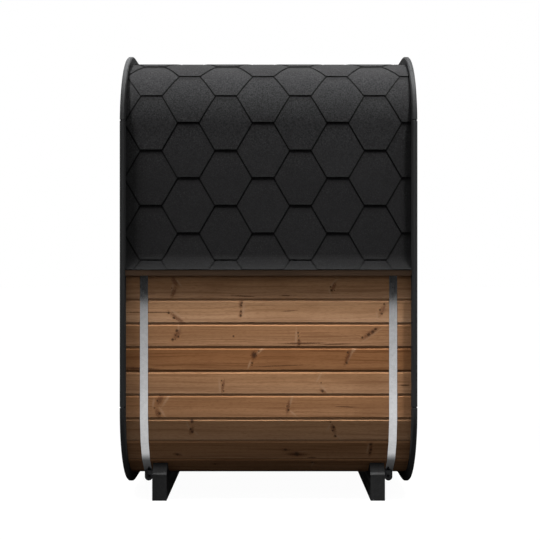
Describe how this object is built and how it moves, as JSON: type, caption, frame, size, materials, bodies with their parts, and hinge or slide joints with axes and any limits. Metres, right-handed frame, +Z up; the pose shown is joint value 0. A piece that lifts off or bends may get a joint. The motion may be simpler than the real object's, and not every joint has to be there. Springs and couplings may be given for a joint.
{
  "type": "cube sauna",
  "caption": "Small stave-built garden sauna cabin with rounded corners, dark end rings, steel straps, a hex-shingled upper half and a glazed door in one end.",
  "frame": {"origin": "middle of the two feet, on the ground", "axes": "+X towards the end wall with the door, -Y towards the side seen in the picture, +Z up"},
  "size_m": [1.44, 2.055, 2.2449],
  "materials": {
    "thermo_wood": "planed, brown heat-treated softwood with knots",
    "batten_wood": "planed, dark brown heat-treated softwood",
    "door_glass": "bronze-tinted, smooth",
    "steel": "galvanised, satin",
    "black_wood": "charcoal stain, satin",
    "bitumen_shingle": "black mineral granules, matt"
  },
  "bodies": {
    "root": {"left_wall": "thermo_wood", "right_wall": "thermo_wood", "floor": "thermo_wood", "ceiling": "thermo_wood", "lower_left_corner": "thermo_wood", "lower_right_corner": "thermo_wood", "upper_right_corner": "thermo_wood", "upper_left_corner": "thermo_wood", "rear_wall": "thermo_wood", "front_wall_left": "thermo_wood", "front_wall_right": "thermo_wood", "front_wall_over_door": "thermo_wood", "door_jamb_left": "thermo_wood", "door_jamb_right": "thermo_wood", "door_head": "thermo_wood", "door_sill": "thermo_wood", "door_leaf": "thermo_wood", "door_handle": "thermo_wood", "drip_battens": "batten_wood", "door_glass": "door_glass", "door_hinges": "steel", "front_strap": "steel", "rear_strap": "steel", "tension_rods": "steel", "front_ring_left": "black_wood", "front_ring_right": "black_wood", "front_ring_top": "black_wood", "front_ring_bottom": "black_wood", "front_ring_upper_corners": "black_wood", "front_ring_lower_corners": "black_wood", "rear_ring_left": "black_wood", "rear_ring_right": "black_wood", "rear_ring_top": "black_wood", "rear_ring_bottom": "black_wood", "rear_ring_upper_corners": "black_wood", "rear_ring_lower_corners": "black_wood", "front_foot": "black_wood", "rear_foot": "black_wood", "roof_left_side": "bitumen_shingle", "roof_right_side": "bitumen_shingle", "roof_left_corner": "bitumen_shingle", "roof_right_corner": "bitumen_shingle", "roof_top": "bitumen_shingle"}
  },
  "joints": []
}
